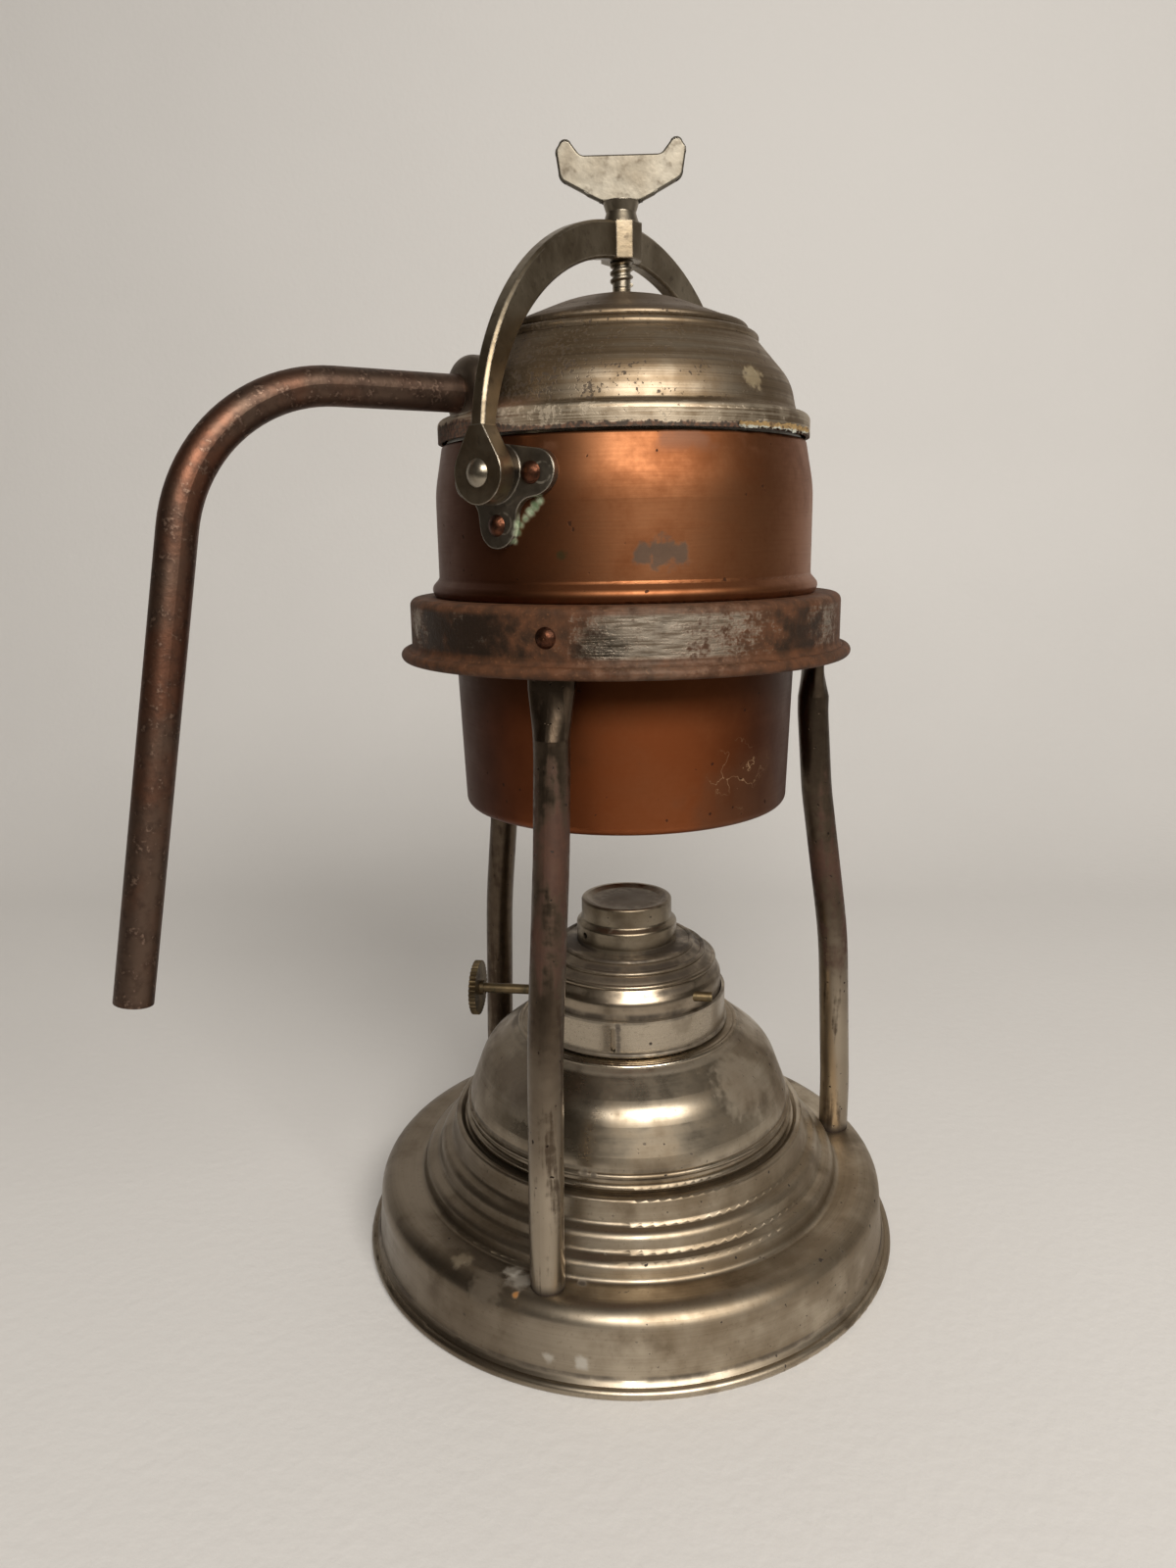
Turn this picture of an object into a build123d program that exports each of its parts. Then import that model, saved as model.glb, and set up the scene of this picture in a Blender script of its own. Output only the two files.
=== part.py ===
from build123d import *
import os
from math import cos, radians, sin, sqrt, tan

os.makedirs("parts", exist_ok=True)

# A spirit-burner steam coffee maker: a spun base holds a round fuel burner and three bent tube
# legs, a steel ring on the legs carries a copper boiler, and a domed lid with a long bent spout
# pipe is clamped on the boiler by a hinged yoke with a wing screw.
# The vertical axis is +Z, the table is z = 0, and -Y is the front. All sizes are millimetres.

# Overall sizes
base_radius = 85.0
base_height = 40.4
stand_height = 204.9
boiler_drop = 61.6
boiler_rise = 41.7

# Sheet thicknesses and fits
stand_sheet = 1.0
copper_sheet = 1.0
burner_sheet = 0.8
cap_sheet = 0.7
running_fit = 0.05
face_gap = 0.1
seat_gap = 0.02
loose_gap = 0.4

# Bends that many sheets share, and the part of a straight run that one bend may take
crisp_bend = 0.5
firm_bend = 1.2
soft_bend = 1.6
bend_share = 0.46

# Base: a spun pan with a rolled rim, a broad shoulder, two smaller steps and a sunk shelf
rim_roll = 1.6
rim_flat = 0.2
shoulder_height = 23.2
shoulder_round = 6.0
valley_height = 22.2
groove_height = 4.6
groove_depth = 3.0
shoulder_setback = 4.6
lower_step_setback = 17.8
lower_step_top = 26.9
lower_step_round = 2.4
upper_step_setback = 24.1
upper_step_top = 32.4
upper_step_round = 2.6
lip_setback = 28.9
lip_width = 1.6
shelf_drop = 0.8
shelf_slope = 1.2
shelf_width = 6.5
well_depth = 5.0
step_draft = 1.2

# Legs: bent tubes from the base valley to the ring, flattened where they are riveted
leg_diameter = 9.5
leg_foot_setback = 13.2
leg_tail = 9.2
leg_straight_top = 40.0
leg_lower_bend_in = 2.4
leg_lower_bend_drop = 75.0
leg_upper_bend_out = 2.0
leg_upper_bend_drop = 25.0
leg_neck_setback = 2.6
leg_bend_radii = (200.0, 200.0, 120.0, 100.0)
leg_top_drop = 2.4
leg_flat_width = 12.4
leg_flat_thickness = 4.0
leg_flat_edge = 1.8
leg_flatten_length = 17.0
leg_flat_length = 18.5
front_leg_angle = 252.0
leg_count = 3
nut_across_flats = 13.0
nut_height = 5.0
washer_radius = 5.5
washer_gap = 0.3
washer_height = 1.2

# Support ring: a band with a turned-in seat above and a rolled edge below
ring_margin = 6.4
ring_height = 17.0
ring_roll = 1.65
ring_flare = 1.5
ring_seat_gap = 1.4
ring_corner = 2.2
ring_rivet_drop = 7.6

# Rivets: domed heads on plain shanks
rivet_head_radius = 2.75
rivet_head_height = 1.5
rivet_shank_radius = 1.5

# Boiler: a drawn copper pot with a bead that hangs on the ring
pot_body_radius = 53.9
pot_bottom_setback = 5.6
pot_waist_setback = 3.5
pot_bead_swell = 2.3
pot_bead_height = 5.2
pot_mouth_setback = 2.3
pot_ledge_width = 4.8
pot_crown_drop = 12.6
pot_crown_bend = 40.0
pot_bead_round = 2.2
pot_corner = 2.5

# Yoke brackets on the boiler and the yoke that swings on them
yoke_angle = 235.0
pivot_drop = 9.6
bracket_plate = 1.9
bracket_ear_radius = 5.8
bracket_notch_round = 5.0
bracket_ear_turn = 11.0
bracket_ear_drop = 12.6
bracket_boss_radius = 7.3
bracket_boss_height = 1.4
yoke_eye_radius = 7.65
yoke_arm_depth = 5.0
yoke_arm_width = 4.4
yoke_neck_rise = 11.0
yoke_crown_rise = 58.2
yoke_crown_depth = 9.6
yoke_boss_radius = 5.8
yoke_boss_sides = 8
yoke_edge = 0.7
pin_radius = 2.5
pin_head_radius = 3.55
pin_head_height = 1.9

# Lid: a spun dome on a clamping rim whose skirt hides the gasket, and its filter plate.
# Each pair in the dome's profile is a setback from the dome's foot and a height.
gasket_thickness = 1.8
gasket_width = 3.7
filter_thickness = 0.6
lid_rim_overhang = 1.0
lid_rim_height = 3.2
lid_skirt_drop = 2.6
lid_hole_margin = 0.8
lid_dome_setback = 3.8
lid_dome_height = 37.2
lid_cheek = (1.7, 12.2)
lid_shoulder = (10.4, 22.4)
lid_bead_radius = 1.3
lid_bead_places = ((12.0, 23.8), (14.9, 26.4))
lid_cap_edge = (17.4, 28.6)
lid_crown = (31.8, 34.4)
lid_pad_radius = 4.0
lid_rim_round = 2.0
lid_bends = (16.0, 8.0, 10.0, 40.0, 8.0)

# Filter holes
hole_diameter = 3.0
hole_pitch = 11.0
hole_margin = 4.2

# Coffee basket: a cup with a flange and a suction stem
basket_sheet = 0.8
basket_gap = 3.6
basket_depth = 21.6
basket_flange_setback = 1.4
basket_cone_rise = 3.5
stem_radius = 5.0
stem_clearance = 5.0
basket_bend = 1.5

# Spout: a pipe that leaves the lid level and bends down
spout_angle = 215.0
spout_radius = 4.75
spout_wall = 0.9
spout_rise = 8.2
spout_reach = 119.4
spout_bend = 64.3
spout_tilt = 10.6
spout_drop = 145.5
spout_inset = 3.0
outlet_radius = 9.8
outlet_root = 4.0
outlet_reach = 3.6
outlet_edge = 4.6
outlet_base_rise = 2.2

# Clamp screw
screw_radius = 3.25
screw_collar_radius = 5.0
screw_collar_height = 5.4
screw_collar_waist = 0.9
foot_radius = 2.5
foot_height = 1.3
foot_stem_radius = 1.5
foot_stem_length = 4.0
wing_root = 5.4
wing_cheek = (9.6, 3.8)
wing_side = (16.6, 7.4)
wing_tip = (17.9, 13.3)
wing_ear = (15.2, 17.9)
wing_valley = 11.0
wing_height = 11.9
wing_bends = (0.5, 5.0, 3.0, 3.0, 2.6, 2.0)
wing_thickness = 2.2
wing_tang = 3.0
wing_tang_width = 6.4

# Burner: fuel tank, collar, head, wick tube and cap
tank_lip_gap = 4.4
tank_roll_radius = 1.25
tank_roll_rise = 1.75
tank_roll_inset = 0.3
tank_bead_radius = 0.95
tank_bead_rise = 5.0
tank_bead_inset = 0.5
tank_cheek_setback = 0.7
tank_cheek_rise = 8.4
tank_shoulder_setback = 5.7
tank_shoulder_rise = 21.6
tank_neck_spread = 3.2
tank_neck_rise = 29.2
tank_round = 14.0
tank_neck_bend = 3.0
tank_height = 31.0
tank_neck_radius = 33.4
tank_hole_radius = 24.0
pan_gap = 1.2
pan_depth = 15.6
pan_corner = 2.0
pan_flange = 1.5
collar_radius = 31.0
collar_sheet = 1.0
collar_height = 11.4
collar_bead_radius = 0.76
collar_slot_width = 1.5
collar_slot_length = 7.8
collar_slot_angle = 262.0
head_rise = 15.2
head_height = 25.4
head_cheek = (26.8, 20.6)
head_crown_radius = 19.8
head_bends = (3.0, 4.0, 3.0)
head_bead_radius = 0.85
head_bead_places = ((27.2, 19.7), (23.9, 22.6), (20.3, 24.9))
wick_tube_radius = 11.5
wick_tube_wall = 0.6
wick_tube_top = 5.0
wick_tube_tail = 38.0
wick_slot_width = 3.4
wick_show = 2.4
wick_tail = 64.0
shaft_radius = 1.5
shaft_offset = 18.5
shaft_angle = -6.0
shaft_rise = 14.4
shaft_knob_end = 46.5
shaft_free_end = 27.5
wheel_thickness = 2.4
wheel_tooth = 1.6
wheel_teeth = 12
knob_radius = 8.3
knob_thickness = 2.0
knob_hub_radius = 2.2
knob_hub_height = 1.1
knob_notches = 36
knob_notch = 0.55
cap_skirt_radius = 15.7
cap_skirt_height = 6.4
cap_radius = 14.1
cap_height = 13.9
cap_rim_width = 1.7
cap_bend = 0.9
cap_dish = 0.9
cap_vent_angle = 215.0
cap_vent_rise = 4.0
cap_vent_radius = 1.0

# Sizes that follow from the ones above
shelf_height = base_height - shelf_drop
lower_step_radius = base_radius - lower_step_setback
upper_step_radius = base_radius - upper_step_setback
lip_radius = base_radius - lip_setback
well_radius = lip_radius - shelf_width
pan_radius = well_radius - pan_gap
tank_flange_radius = lip_radius - tank_lip_gap
leg_foot_radius = base_radius - leg_foot_setback
pot_bottom_radius = pot_body_radius - pot_bottom_setback
pot_waist_radius = pot_body_radius - pot_waist_setback
pot_bead_radius = pot_body_radius + pot_bead_swell
pot_mouth_radius = pot_body_radius - pot_mouth_setback
pot_mouth_hole = pot_mouth_radius - pot_ledge_width
ring_radius = pot_bead_radius + ring_margin
basket_radius = pot_mouth_hole - basket_gap
basket_flange_radius = pot_mouth_radius - basket_flange_setback
hole_field = basket_radius - hole_margin
lid_hole_radius = pot_mouth_hole - lid_hole_margin
lid_rim_radius = pot_mouth_radius + lid_rim_overhang
lid_dome_radius = lid_rim_radius - lid_dome_setback
leg_neck_radius = ring_radius - leg_neck_setback
leg_flat_bottom = stand_height - leg_top_drop - leg_flat_length
leg_neck_height = leg_flat_bottom - leg_flatten_length
ring_seat_radius = pot_waist_radius + ring_seat_gap
boiler_bottom = stand_height - boiler_drop
mouth_height = stand_height + boiler_rise
pivot_height = mouth_height - pivot_drop
basket_flange_top = mouth_height + basket_sheet
filter_bottom = basket_flange_top + gasket_thickness
lid_base = filter_bottom + filter_thickness
lid_top = lid_base + lid_dome_height
spout_height = lid_base + spout_rise
yoke_spring = pivot_height + bracket_boss_radius + loose_gap
yoke_crown_bottom = pivot_height + yoke_crown_rise
yoke_crown_top = yoke_crown_bottom + yoke_crown_depth
bracket_face = pot_body_radius + bracket_plate + bracket_boss_height
eye_inner = bracket_face + face_gap
eye_outer = eye_inner + yoke_arm_depth
screw_bottom = lid_top + seat_gap + foot_height + face_gap
collar_bottom = yoke_crown_top + face_gap
wing_bottom = collar_bottom + screw_collar_height
tank_top = shelf_height + tank_height
collar_floor = tank_top + collar_sheet
head_radius = collar_radius - collar_sheet - loose_gap
head_top = collar_floor + head_height
wick_tube_bore = wick_tube_radius - wick_tube_wall
wick_radius = wick_tube_bore - loose_gap
wick_top = head_top + wick_tube_top + wick_show
shaft_height = collar_floor + shaft_rise
wheel_radius = shaft_offset - wick_radius - loose_gap
leg_angles = [front_leg_angle + 360 / leg_count * n for n in range(leg_count)]
leg_flat_radius = (
    sqrt((ring_radius - stand_sheet) ** 2 - (leg_flat_width / 2) ** 2)
    - seat_gap - leg_flat_thickness / 2
)
ring_rivet_height = stand_height - ring_rivet_drop


def upright(angle):
    """Vertical plane through the axis: x points outward at this angle and y points up."""
    turn = radians(angle)
    return Plane(origin=(0, 0, 0), x_dir=(cos(turn), sin(turn), 0),
                 z_dir=(sin(turn), -cos(turn), 0))


def outward(angle, radius, height):
    """Plane that faces away from the axis at this angle, radius and height; y points up."""
    turn = radians(angle)
    place = (radius * cos(turn), radius * sin(turn), height)
    return Plane(origin=place, x_dir=(-sin(turn), cos(turn), 0), z_dir=(cos(turn), sin(turn), 0))


def level(angle, radius, height):
    """Level plane at this angle, radius and height; x points outward."""
    turn = radians(angle)
    place = (radius * cos(turn), radius * sin(turn), height)
    return Plane(origin=place, x_dir=(cos(turn), sin(turn), 0), z_dir=(0, 0, 1))


def fitted_radii(points, radii):
    """Corner radii, each limited to what the two straight runs beside its corner can hold."""
    fitted = []
    for before, corner, after, radius in zip(points, points[1:], points[2:], radii):
        back = Vector(*before) - Vector(*corner)
        ahead = Vector(*after) - Vector(*corner)
        half_turn = radians(180 - back.get_angle(ahead)) / 2
        share = bend_share * min(back.length, ahead.length)
        fitted.append(min(radius, share / tan(half_turn)))
    return fitted


def sheet(points, radii, thickness):
    """Section of a spun sheet: its outer side through the points, its thickness inward."""
    with BuildSketch(Plane.XZ) as section:
        with BuildLine():
            FilletPolyline(*points, radius=fitted_radii(points, radii))
            offset(amount=thickness, side=Side.LEFT)
        make_face()
    return section.sketch


def filled(points, radii):
    """Section of the solid of revolution under an outline that starts and ends on the axis."""
    with BuildSketch(Plane.XZ) as section:
        with BuildLine():
            FilletPolyline(*points, radius=fitted_radii(points, radii))
            Line(points[-1], points[0])
        make_face()
    return section.sketch


def beads(places, radius):
    """Sections of round beads rolled into a sheet."""
    with BuildSketch(Plane.XZ) as section:
        with Locations(*places):
            Circle(radius)
    return section.sketch


def rivet(head_radius, head_height, shank_radius, grip):
    """Rivet along z: a domed head above z = 0 and its shank through the grip below."""
    with BuildPart() as made:
        with BuildSketch(Plane.XZ):
            with BuildLine():
                Polyline((0, head_height), (0, -grip), (shank_radius, -grip), (shank_radius, 0),
                         (head_radius, 0))
                RadiusArc((head_radius, 0), (0, head_height), dome_radius(head_radius, head_height))
            make_face()
        revolve(axis=Axis.Z)
    return made.part


def dome_radius(half_width, height):
    """Radius of the arc that rises this high over this half width, for a counterclockwise arc."""
    return -(half_width ** 2 + height ** 2) / (2 * height)


def finish(made, label):
    """Names a finished piece and writes its file."""
    made.part.label = label
    export_step(made.part, f"parts/{label}.step")


# Base
base_points = [
    (base_radius - rim_roll, rim_roll + stand_sheet),
    (base_radius - groove_depth, groove_height),
    (base_radius - shoulder_setback, shoulder_height),
    (lower_step_radius, valley_height),
    (lower_step_radius - step_draft, lower_step_top),
    (upper_step_radius + step_draft, lower_step_top + step_draft),
    (upper_step_radius, upper_step_top),
    (lip_radius + step_draft, upper_step_top + step_draft),
    (lip_radius, base_height),
    (lip_radius - lip_width, base_height),
    (lip_radius - lip_width - shelf_slope, shelf_height),
    (well_radius, shelf_height),
    (well_radius, shelf_height - well_depth),
]
base_radii = [firm_bend, shoulder_round, soft_bend, lower_step_round, soft_bend,
              upper_step_round, soft_bend, firm_bend, crisp_bend, crisp_bend, firm_bend]

with BuildPart() as base:
    revolve(sheet(base_points, base_radii, stand_sheet), axis=Axis.Z)
    revolve(beads([(base_radius - rim_roll, rim_roll - rim_flat)], rim_roll), axis=Axis.Z)
    split(bisect_by=Plane.XY, keep=Keep.TOP)
    with BuildSketch(Plane.XY):
        for angle in leg_angles:
            with PolarLocations(leg_foot_radius, 1, start_angle=angle):
                Circle(leg_diameter / 2)
    extrude(amount=base_height, mode=Mode.SUBTRACT)
finish(base, "base")

# Legs
leg_points = [
    (leg_foot_radius, valley_height - leg_tail),
    (leg_foot_radius, leg_straight_top),
    (leg_foot_radius - leg_lower_bend_in, leg_neck_height - leg_lower_bend_drop),
    (leg_neck_radius + leg_upper_bend_out, leg_neck_height - leg_upper_bend_drop),
    (leg_neck_radius, leg_neck_height),
    (leg_neck_radius, leg_neck_height + leg_diameter / 2),
]
for angle, name in zip(leg_angles, ("leg_front", "leg_right", "leg_rear")):
    with BuildPart() as leg:
        with BuildLine(upright(angle)) as leg_path:
            FilletPolyline(*leg_points, radius=fitted_radii(leg_points, leg_bend_radii))
        with BuildSketch(level(angle, leg_foot_radius, valley_height - leg_tail)):
            Circle(leg_diameter / 2)
        sweep(path=leg_path.wires()[0])
        with BuildSketch(level(angle, leg_neck_radius, leg_points[-1][1])):
            Circle(leg_diameter / 2)
        with BuildSketch(level(angle, leg_flat_radius, leg_flat_bottom)):
            RectangleRounded(leg_flat_thickness, leg_flat_width, leg_flat_edge)
        loft()
        with BuildSketch(level(angle, leg_flat_radius, leg_flat_bottom)):
            RectangleRounded(leg_flat_thickness, leg_flat_width, leg_flat_edge)
        extrude(amount=leg_flat_length)
        with BuildSketch(outward(angle, leg_flat_radius - leg_flat_thickness, ring_rivet_height)):
            Circle(rivet_shank_radius)
        extrude(amount=2 * leg_flat_thickness, mode=Mode.SUBTRACT)
    finish(leg, name)

# Washers and nuts that hold the legs under the base
washer_top = valley_height - stand_sheet - washer_gap
with BuildPart() as leg_nuts:
    for angle in leg_angles:
        with BuildSketch(level(angle, leg_foot_radius, washer_top - washer_height)):
            Circle(washer_radius)
            Circle(leg_diameter / 2, mode=Mode.SUBTRACT)
        extrude(amount=washer_height)
        with BuildSketch(level(angle, leg_foot_radius, washer_top - washer_height - nut_height)):
            RegularPolygon(nut_across_flats / 2, 6, major_radius=False)
            Circle(leg_diameter / 2, mode=Mode.SUBTRACT)
        extrude(amount=nut_height)
finish(leg_nuts, "leg_nuts")

# Support ring
ring_bottom = stand_height - ring_height
ring_points = [
    (ring_radius + ring_flare, ring_bottom + ring_roll),
    (ring_radius, ring_bottom + ring_roll + ring_flare),
    (ring_radius, stand_height),
    (ring_seat_radius, stand_height),
]
with BuildPart() as support_ring:
    revolve(sheet(ring_points, [firm_bend, ring_corner], stand_sheet), axis=Axis.Z)
    revolve(beads([(ring_radius + ring_flare, ring_bottom + ring_roll / 2)], ring_roll), axis=Axis.Z)
    for angle in leg_angles:
        with BuildSketch(outward(angle, ring_radius - 2 * stand_sheet, ring_rivet_height)):
            Circle(rivet_shank_radius)
        extrude(amount=4 * stand_sheet, mode=Mode.SUBTRACT)
finish(support_ring, "support_ring")

ring_grip = ring_radius - leg_flat_radius + leg_flat_thickness / 2
with BuildPart() as ring_rivets:
    for angle in leg_angles:
        with Locations(outward(angle, ring_radius, ring_rivet_height).location):
            add(rivet(rivet_head_radius, rivet_head_height, rivet_shank_radius, ring_grip))
finish(ring_rivets, "ring_rivets")

# Boiler pot
pot_outer = [
    (0, boiler_bottom),
    (pot_bottom_radius, boiler_bottom),
    (pot_waist_radius, stand_height),
    (pot_bead_radius - copper_sheet, stand_height),
    (pot_bead_radius, stand_height + pot_bead_height / 2),
    (pot_body_radius, stand_height + pot_bead_height),
    (pot_body_radius, mouth_height - pot_crown_drop),
    (pot_mouth_radius, mouth_height),
    (pot_mouth_hole, mouth_height),
]
pot_radii = [pot_corner, crisp_bend, firm_bend, pot_bead_round, firm_bend, pot_crown_bend,
             firm_bend]
ear_places = [
    (yoke_angle - bracket_ear_turn, 0),
    (yoke_angle + bracket_ear_turn, 0),
    (yoke_angle, bracket_ear_drop),
]
ear_places += [(angle + 180, drop) for angle, drop in ear_places]
with BuildPart() as boiler_pot:
    revolve(sheet(pot_outer, pot_radii, copper_sheet), axis=Axis.Z)
    for angle, drop in ear_places:
        with BuildSketch(outward(angle, pot_mouth_hole, pivot_height - drop)):
            Circle(rivet_shank_radius)
        extrude(amount=pot_body_radius, mode=Mode.SUBTRACT)
finish(boiler_pot, "boiler_pot")


def pot_solid(grow):
    """Solid outline of the pot, with its body this much larger round."""
    wide = [(0, boiler_bottom)] + [(r + grow, z) for r, z in pot_outer[1:-1]] + [(0, mouth_height)]
    return filled(wide, pot_radii[:-1] + [crisp_bend])


# Yoke brackets
plate_radius = pot_body_radius + bracket_plate
ear_offset = plate_radius * sin(radians(bracket_ear_turn))
for side, name in ((yoke_angle, "bracket_front"), (yoke_angle + 180, "bracket_rear")):
    with BuildPart() as bracket:
        with BuildSketch(outward(side, pot_mouth_hole, pivot_height)) as outline:
            for ear in ((-ear_offset, 0), (ear_offset, 0), (0, -bracket_ear_drop)):
                with BuildSketch():
                    Circle(bracket_boss_radius)
                    with Locations(ear):
                        Circle(bracket_ear_radius)
                    make_hull()
            for notch in (-bracket_boss_radius, bracket_boss_radius):
                corner = outline.vertices().sort_by_distance((notch, -bracket_boss_radius))[0]
                fillet(corner, bracket_notch_round)
        extrude(amount=plate_radius)
        revolve(pot_solid(bracket_plate), axis=Axis.Z, mode=Mode.INTERSECT)
        with BuildSketch(outward(side, pot_mouth_hole, pivot_height)):
            Circle(bracket_boss_radius)
        extrude(amount=bracket_face - pot_mouth_hole)
        revolve(pot_solid(seat_gap), axis=Axis.Z, mode=Mode.SUBTRACT)
        with BuildSketch(outward(side, pot_mouth_hole, pivot_height)):
            Circle(pin_radius)
        extrude(amount=plate_radius, mode=Mode.SUBTRACT)
        for angle, drop in ear_places:
            if abs(angle - side) < 90:
                with BuildSketch(outward(angle, pot_mouth_hole, pivot_height - drop)):
                    Circle(rivet_shank_radius)
                extrude(amount=plate_radius, mode=Mode.SUBTRACT)
    finish(bracket, name)

with BuildPart() as bracket_rivets:
    for angle, drop in ear_places:
        with Locations(outward(angle, plate_radius, pivot_height - drop).location):
            add(rivet(rivet_head_radius, rivet_head_height, rivet_shank_radius,
                      bracket_plate + copper_sheet))
finish(bracket_rivets, "bracket_rivets")

pin_grip = eye_outer + face_gap - pot_body_radius - seat_gap
with BuildPart() as pivot_pins:
    for side in (yoke_angle, yoke_angle + 180):
        with Locations(outward(side, eye_outer + face_gap, pivot_height).location):
            add(rivet(pin_head_radius, pin_head_height, pin_radius, pin_grip))
finish(pivot_pins, "pivot_pins")

# Yoke
with BuildPart() as yoke:
    with BuildSketch(upright(yoke_angle)):
        with BuildLine():
            Line((eye_inner, pivot_height), (eye_inner, yoke_spring))
            ThreePointArc((eye_inner, yoke_spring), (0, yoke_crown_bottom),
                          (-eye_inner, yoke_spring))
            Polyline((-eye_inner, yoke_spring), (-eye_inner, pivot_height),
                     (-eye_outer, pivot_height), (-eye_outer, yoke_spring))
            ThreePointArc((-eye_outer, yoke_spring), (0, yoke_crown_top), (eye_outer, yoke_spring))
            Polyline((eye_outer, yoke_spring), (eye_outer, pivot_height),
                     (eye_inner, pivot_height))
        make_face()
    extrude(amount=yoke_arm_width / 2, both=True)
    arch_edges = yoke.edges().filter_by(GeomType.CIRCLE)
    chamfer(arch_edges, length=yoke_edge)
    for side in (yoke_angle, yoke_angle + 180):
        with BuildSketch(outward(side, eye_inner, pivot_height)):
            Circle(yoke_eye_radius)
            with Locations((0, yoke_neck_rise)):
                Rectangle(yoke_arm_width, yoke_edge)
            make_hull()
        extrude(amount=yoke_arm_depth)
    with BuildSketch(Plane.XY.offset(yoke_crown_bottom)):
        RegularPolygon(yoke_boss_radius, yoke_boss_sides, rotation=yoke_angle + 180 / yoke_boss_sides)
    extrude(amount=yoke_crown_depth)
    for side in (yoke_angle, yoke_angle + 180):
        with BuildSketch(outward(side, pot_body_radius, pivot_height)):
            Circle(pin_radius + running_fit)
        extrude(amount=ring_radius, mode=Mode.SUBTRACT)
    with BuildSketch(Plane.XY.offset(mouth_height)):
        Circle(screw_radius + running_fit)
    extrude(amount=stand_height, mode=Mode.SUBTRACT)
finish(yoke, "yoke")

# Clamp screw: swivel foot, threaded spindle and wing plate
with BuildPart() as screw_foot:
    with BuildSketch(Plane.XY.offset(lid_top + seat_gap)):
        Circle(foot_radius)
    extrude(amount=foot_height)
    with BuildSketch(Plane.XY.offset(lid_top + seat_gap + foot_height)):
        Circle(foot_stem_radius)
    extrude(amount=foot_stem_length)
finish(screw_foot, "screw_foot")

with BuildPart() as screw_spindle:
    with BuildSketch(Plane.XY.offset(screw_bottom)):
        Circle(screw_radius)
    extrude(amount=wing_bottom - screw_bottom)
    with BuildSketch(Plane.XZ):
        with BuildLine():
            Polyline(
                (0, collar_bottom), (screw_collar_radius, collar_bottom),
                (screw_collar_radius - screw_collar_waist, collar_bottom + screw_collar_height / 2),
                (screw_collar_radius, wing_bottom), (0, wing_bottom), (0, collar_bottom),
            )
        make_face()
    revolve(axis=Axis.Z)
    with BuildSketch(Plane.XY.offset(screw_bottom)):
        Circle(foot_stem_radius + running_fit)
    extrude(amount=foot_stem_length, mode=Mode.SUBTRACT)
    with BuildSketch(Plane.XY.offset(wing_bottom - wing_tang)):
        Rectangle(wing_tang_width, wing_thickness)
    extrude(amount=wing_tang, mode=Mode.SUBTRACT)
finish(screw_spindle, "screw_spindle")

wing_points = [(0, 0), (wing_root, 0), wing_cheek, wing_side, wing_tip, wing_ear,
               (wing_valley, wing_height), (0, wing_height)]
wing_points = [(x, z + wing_bottom) for x, z in wing_points]
with BuildPart() as wing_plate:
    with BuildSketch(Plane.XZ):
        with BuildLine():
            FilletPolyline(*wing_points, radius=fitted_radii(wing_points, wing_bends))
            Line(wing_points[-1], wing_points[0])
        make_face()
        mirror(about=Plane.YZ)
        with Locations((0, wing_bottom - wing_tang / 2)):
            Rectangle(wing_tang_width, wing_tang)
    extrude(amount=wing_thickness / 2, both=True)
finish(wing_plate, "wing_plate")

# Lid
dome_profile = [(lid_dome_radius - setback, rise)
                for setback, rise in (lid_cheek, lid_shoulder, lid_cap_edge, lid_crown)]
lid_points = [
    (lid_hole_radius, 0),
    (lid_rim_radius, 0),
    (lid_rim_radius, lid_rim_height),
    (lid_dome_radius, lid_rim_height + stand_sheet),
    *dome_profile,
    (lid_pad_radius, lid_dome_height),
    (0, lid_dome_height),
]
lid_points = [(r, z + lid_base) for r, z in lid_points]
lid_radii = [firm_bend, lid_rim_round, firm_bend, *lid_bends]
pipe_start = lid_dome_radius - spout_inset


def lid_solid():
    """Solid outline of the lid."""
    return filled([(0, lid_base)] + lid_points[1:], lid_radii)


with BuildPart() as lid_dome:
    revolve(sheet(lid_points, lid_radii, stand_sheet), axis=Axis.Z)
    bead_places = [(lid_dome_radius - setback, rise + lid_base) for setback, rise in lid_bead_places]
    revolve(beads(bead_places, lid_bead_radius), axis=Axis.Z)
    with BuildSketch(Plane.XY.offset(lid_base - lid_skirt_drop)):
        Circle(lid_rim_radius)
        Circle(lid_rim_radius - stand_sheet, mode=Mode.SUBTRACT)
    extrude(amount=lid_skirt_drop + lid_rim_height / 2)
    with BuildSketch(outward(spout_angle, lid_hole_radius / 2, spout_height)):
        Circle(spout_radius)
    extrude(amount=lid_rim_radius, mode=Mode.SUBTRACT)
finish(lid_dome, "lid_dome")

with BuildPart() as outlet_boss:
    with BuildSketch(outward(spout_angle, lid_dome_radius - outlet_root, spout_height)):
        Circle(outlet_radius)
    extrude(amount=outlet_root + outlet_reach)
    outer_face = outlet_boss.faces().sort_by(Axis((0, 0, 0), outward(spout_angle, 0, 0).z_dir))[-1]
    fillet(outer_face.edges(), outlet_edge)
    revolve(lid_solid(), axis=Axis.Z, mode=Mode.SUBTRACT)
    split(bisect_by=Plane.XY.offset(lid_base + outlet_base_rise), keep=Keep.TOP)
    with BuildSketch(outward(spout_angle, 0, spout_height)):
        Circle(spout_radius)
    extrude(amount=spout_reach, mode=Mode.SUBTRACT)
finish(outlet_boss, "outlet_boss")

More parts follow.
